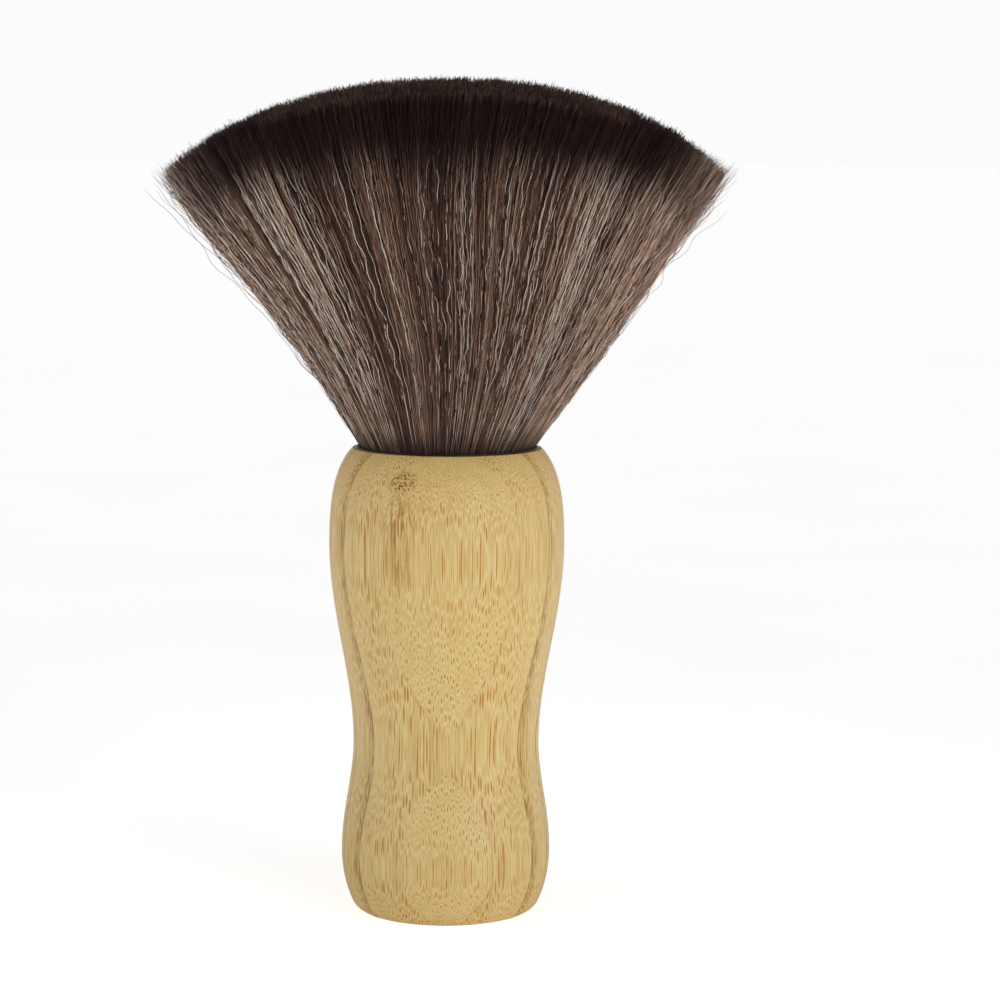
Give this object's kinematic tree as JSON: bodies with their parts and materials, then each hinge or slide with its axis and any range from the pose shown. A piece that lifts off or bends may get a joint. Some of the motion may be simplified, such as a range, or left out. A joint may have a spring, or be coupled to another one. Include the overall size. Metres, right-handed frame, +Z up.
{
  "type": "neck duster brush",
  "caption": "Free-standing barber neck duster: a waisted turned bamboo handle with a flat foot, and a wide fan of soft dark-tipped bristles for sweeping off cut hair.",
  "frame": {"origin": "centre of the flat foot, which is the bottom centre of the box round the brush", "axes": "+Z up the handle to the bristle tips, X across the wide fan, Y through its depth, -Y the front with the two-part slat"},
  "size_m": [0.1034, 0.048, 0.152],
  "materials": {
    "bamboo_light": "satin",
    "bamboo_brown": "satin",
    "black_plastic": "gloss",
    "adhesive": "gloss",
    "resin": "gloss",
    "thread": "matte",
    "bristles": "satin"
  },
  "bodies": {
    "root": {"front_slat_lower": "bamboo_light", "front_slat_upper": "bamboo_light", "slat_2": "bamboo_light", "slat_3": "bamboo_brown", "slat_4": "bamboo_brown", "slat_5": "bamboo_light", "slat_6": "bamboo_brown", "slat_7": "bamboo_light", "back_slat": "bamboo_light", "knot_cup": "black_plastic", "socket_adhesive": "adhesive", "resin_plug": "resin", "root_binding": "thread", "bristle_bundle": "bristles"}
  },
  "joints": []
}
